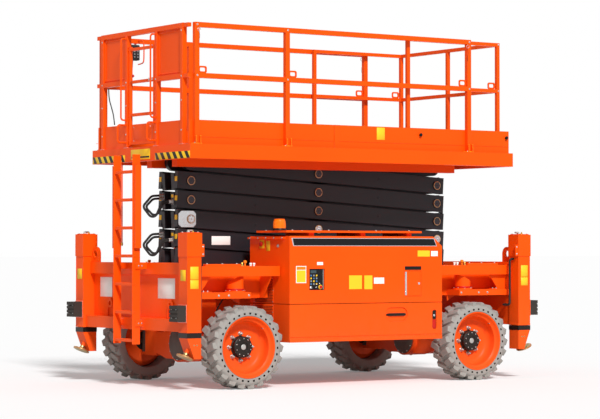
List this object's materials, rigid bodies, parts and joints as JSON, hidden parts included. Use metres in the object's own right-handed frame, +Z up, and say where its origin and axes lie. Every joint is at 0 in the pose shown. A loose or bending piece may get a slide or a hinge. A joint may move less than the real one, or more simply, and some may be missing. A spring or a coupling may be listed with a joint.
{
  "type": "scissor lift",
  "caption": "Rough-terrain scissor lift with a railed platform on stacked crossed arms, a four-wheel chassis with corner jacks, side cabinets and an end ladder.",
  "frame": {"origin": "on the ground below the middle of the machine's outline", "axes": "+X toward the platform's extension end, away from the ladder; +Y to the left seen from the ladder end; +Z up"},
  "size_m": [4.6, 2.312, 3.675],
  "materials": {
    "orange_paint": "gloss",
    "grey_paint": "satin",
    "tyre": "matte",
    "black_rubber": "matte",
    "chrome_rod": "polished",
    "cast": "rough"
  },
  "bodies": {
    "chassis": {"long_rails": "orange_paint", "cross_members": "orange_paint", "belly_rails": "orange_paint", "end_frames": "orange_paint", "arch_frames": "orange_paint", "jack_posts": "orange_paint", "bumpers": "black_rubber", "axle_beams": "orange_paint", "ladder": "orange_paint", "cabinet_tray_right": "orange_paint", "cabinet_tray_left": "orange_paint", "engine_block": "cast", "tank_block": "cast", "post_hoses": "black_rubber"},
    "knuckle_rear_right": {"knuckle_rear_right": "orange_paint"},
    "wheel_rear_right": {"rim_rear_right": "orange_paint", "tyre_rear_right": "tyre"},
    "jack_leg_rear_right": {"jack_leg_rear_right": "orange_paint"},
    "knuckle_rear_left": {"knuckle_rear_left": "orange_paint"},
    "wheel_rear_left": {"rim_rear_left": "orange_paint", "tyre_rear_left": "tyre"},
    "jack_leg_rear_left": {"jack_leg_rear_left": "orange_paint"},
    "knuckle_front_right": {"knuckle_front_right": "orange_paint"},
    "wheel_front_right": {"rim_front_right": "orange_paint", "tyre_front_right": "tyre"},
    "jack_leg_front_right": {"jack_leg_front_right": "orange_paint"},
    "knuckle_front_left": {"knuckle_front_left": "orange_paint"},
    "wheel_front_left": {"rim_front_left": "orange_paint", "tyre_front_left": "tyre"},
    "jack_leg_front_left": {"jack_leg_front_left": "orange_paint"},
    "inner_arm_1": {"inner_arm_1": "grey_paint"},
    "outer_arm_1": {"outer_arm_1": "grey_paint"},
    "inner_arm_2": {"inner_arm_2": "grey_paint", "front_hoses_lower": "black_rubber"},
    "outer_arm_2": {"outer_arm_2": "grey_paint"},
    "inner_arm_3": {"inner_arm_3": "grey_paint", "rear_hoses_lower": "black_rubber"},
    "outer_arm_3": {"outer_arm_3": "grey_paint"},
    "inner_arm_4": {"inner_arm_4": "grey_paint", "front_hoses_upper": "black_rubber"},
    "outer_arm_4": {"outer_arm_4": "grey_paint"},
    "inner_arm_5": {"inner_arm_5": "grey_paint", "rear_hoses_upper": "black_rubber"},
    "outer_arm_5": {"outer_arm_5": "grey_paint"},
    "inner_arm_6": {"inner_arm_6": "grey_paint"},
    "outer_arm_6": {"outer_arm_6": "grey_paint"},
    "lift_barrels": {"lift_barrels": "grey_paint"},
    "lift_rods": {"lift_rods": "chrome_rod"},
    "platform": {"deck": "orange_paint", "deck_rails": "orange_paint", "deck_skirt": "orange_paint", "toe_boards": "orange_paint", "side_guard_right": "orange_paint", "side_guard_left": "orange_paint", "end_guard": "orange_paint"},
    "gate": {"gate": "orange_paint"},
    "extension": {"extension_deck": "orange_paint", "extension_guard": "orange_paint"},
    "hood_right": {"hood_right": "orange_paint"},
    "hood_left": {"hood_left": "orange_paint"}
  },
  "joints": [
    {"name": "stack_raise", "type": "hinge", "parent": "chassis", "child": "inner_arm_1", "pos_m": [-1.565, 0, 1.121], "axis": [0, -1, 0], "range_deg": [0, 46.4]},
    {"name": "stage_1_cross", "type": "hinge", "parent": "inner_arm_1", "child": "outer_arm_1", "pos_m": [0.036, 0, 1.2205], "axis": [0, -1, 0], "range_deg": [-92.8, 0]},
    {"name": "stage_2_fold", "type": "hinge", "parent": "inner_arm_1", "child": "outer_arm_2", "pos_m": [1.637, 0, 1.32], "axis": [0, -1, 0], "range_deg": [-92.8, 0]},
    {"name": "stage_2_cross", "type": "hinge", "parent": "outer_arm_2", "child": "inner_arm_2", "pos_m": [0.036, 0, 1.4195], "axis": [0, -1, 0], "range_deg": [0, 92.8]},
    {"name": "stage_3_fold", "type": "hinge", "parent": "outer_arm_2", "child": "inner_arm_3", "pos_m": [-1.565, 0, 1.519], "axis": [0, -1, 0], "range_deg": [0, 92.8]},
    {"name": "stage_3_cross", "type": "hinge", "parent": "inner_arm_3", "child": "outer_arm_3", "pos_m": [0.036, 0, 1.6185], "axis": [0, -1, 0], "range_deg": [-92.8, 0]},
    {"name": "stage_4_fold", "type": "hinge", "parent": "inner_arm_3", "child": "outer_arm_4", "pos_m": [1.637, 0, 1.718], "axis": [0, -1, 0], "range_deg": [-92.8, 0]},
    {"name": "stage_4_cross", "type": "hinge", "parent": "outer_arm_4", "child": "inner_arm_4", "pos_m": [0.036, 0, 1.8175], "axis": [0, -1, 0], "range_deg": [0, 92.8]},
    {"name": "stage_5_fold", "type": "hinge", "parent": "outer_arm_4", "child": "inner_arm_5", "pos_m": [-1.565, 0, 1.917], "axis": [0, -1, 0], "range_deg": [0, 92.8]},
    {"name": "stage_5_cross", "type": "hinge", "parent": "inner_arm_5", "child": "outer_arm_5", "pos_m": [0.036, 0, 2.0165], "axis": [0, -1, 0], "range_deg": [-92.8, 0]},
    {"name": "stage_6_fold", "type": "hinge", "parent": "inner_arm_5", "child": "outer_arm_6", "pos_m": [1.637, 0, 2.116], "axis": [0, -1, 0], "range_deg": [-92.8, 0]},
    {"name": "stage_6_cross", "type": "hinge", "parent": "outer_arm_6", "child": "inner_arm_6", "pos_m": [0.036, 0, 2.2155], "axis": [0, -1, 0], "range_deg": [0, 92.8]},
    {"name": "deck_foot", "type": "hinge", "parent": "outer_arm_6", "child": "platform", "pos_m": [-1.565, 0, 2.315], "axis": [0, -1, 0], "range_deg": [0, 46.4]},
    {"name": "lift_barrel_turn", "type": "hinge", "parent": "inner_arm_1", "child": "lift_barrels", "pos_m": [0.98417, 0, 1.27943], "axis": [0, -1, 0], "range_deg": [-102.62, 0]},
    {"name": "lift_rod_slide", "type": "slide", "parent": "lift_barrels", "child": "lift_rods", "axis": [-0.9953, 0, 0.0969], "range_m": [0, 0.44787]},
    {"name": "steer_rear_right", "type": "hinge", "parent": "chassis", "child": "knuckle_rear_right", "pos_m": [-1.459, -0.9, 0.42], "axis": [0, 0, 1], "range_deg": [-20, 20]},
    {"name": "roll_rear_right", "type": "hinge", "parent": "knuckle_rear_right", "child": "wheel_rear_right", "pos_m": [-1.459, -1, 0.42], "axis": [0, 1, 0], "continuous": true},
    {"name": "jack_rear_right", "type": "slide", "parent": "chassis", "child": "jack_leg_rear_right", "axis": [0, 0, -1], "range_m": [0, 0.42]},
    {"name": "steer_rear_left", "type": "hinge", "parent": "chassis", "child": "knuckle_rear_left", "pos_m": [-1.459, 0.9, 0.42], "axis": [0, 0, 1], "range_deg": [-20, 20]},
    {"name": "roll_rear_left", "type": "hinge", "parent": "knuckle_rear_left", "child": "wheel_rear_left", "pos_m": [-1.459, 1, 0.42], "axis": [0, 1, 0], "continuous": true},
    {"name": "jack_rear_left", "type": "slide", "parent": "chassis", "child": "jack_leg_rear_left", "axis": [0, 0, -1], "range_m": [0, 0.42]},
    {"name": "steer_front_right", "type": "hinge", "parent": "chassis", "child": "knuckle_front_right", "pos_m": [1.459, -0.9, 0.42], "axis": [0, 0, 1], "range_deg": [-20, 20]},
    {"name": "roll_front_right", "type": "hinge", "parent": "knuckle_front_right", "child": "wheel_front_right", "pos_m": [1.459, -1, 0.42], "axis": [0, 1, 0], "continuous": true},
    {"name": "jack_front_right", "type": "slide", "parent": "chassis", "child": "jack_leg_front_right", "axis": [0, 0, -1], "range_m": [0, 0.42]},
    {"name": "steer_front_left", "type": "hinge", "parent": "chassis", "child": "knuckle_front_left", "pos_m": [1.459, 0.9, 0.42], "axis": [0, 0, 1], "range_deg": [-20, 20]},
    {"name": "roll_front_left", "type": "hinge", "parent": "knuckle_front_left", "child": "wheel_front_left", "pos_m": [1.459, 1, 0.42], "axis": [0, 1, 0], "continuous": true},
    {"name": "jack_front_left", "type": "slide", "parent": "chassis", "child": "jack_leg_front_left", "axis": [0, 0, -1], "range_m": [0, 0.42]},
    {"name": "hood_right_lift", "type": "hinge", "parent": "chassis", "child": "hood_right", "pos_m": [0, -0.415, 1.53], "axis": [-1, 0, 0], "range_deg": [0, 70]},
    {"name": "hood_left_lift", "type": "hinge", "parent": "chassis", "child": "hood_left", "pos_m": [0, 0.415, 1.53], "axis": [1, 0, 0], "range_deg": [0, 70]},
    {"name": "gate_swing", "type": "hinge", "parent": "platform", "child": "gate", "pos_m": [-2.03, 0.247, 3], "axis": [0, 0, 1], "range_deg": [0, 90]},
    {"name": "extension_slide", "type": "slide", "parent": "platform", "child": "extension", "axis": [1, 0, 0], "range_m": [0, 1.2]}
  ],
  "couplings": [
    {"joint": "stage_1_cross", "follows": "stack_raise", "ratio": -2},
    {"joint": "stage_2_fold", "follows": "stack_raise", "ratio": -2},
    {"joint": "stage_2_cross", "follows": "stack_raise", "ratio": 2},
    {"joint": "stage_3_fold", "follows": "stack_raise", "ratio": 2},
    {"joint": "stage_3_cross", "follows": "stack_raise", "ratio": -2},
    {"joint": "stage_4_fold", "follows": "stack_raise", "ratio": -2},
    {"joint": "stage_4_cross", "follows": "stack_raise", "ratio": 2},
    {"joint": "stage_5_fold", "follows": "stack_raise", "ratio": 2},
    {"joint": "stage_5_cross", "follows": "stack_raise", "ratio": -2},
    {"joint": "stage_6_fold", "follows": "stack_raise", "ratio": -2},
    {"joint": "stage_6_cross", "follows": "stack_raise", "ratio": 2},
    {"joint": "deck_foot", "follows": "stack_raise", "ratio": 1},
    {"joint": "lift_barrel_turn", "follows": "stack_raise", "ratio": -2.2115},
    {"joint": "lift_rod_slide", "follows": "stack_raise", "m_per_rad": 0.55292},
    {"joint": "steer_rear_left", "follows": "steer_rear_right", "ratio": 1},
    {"joint": "steer_front_left", "follows": "steer_front_right", "ratio": 1}
  ]
}
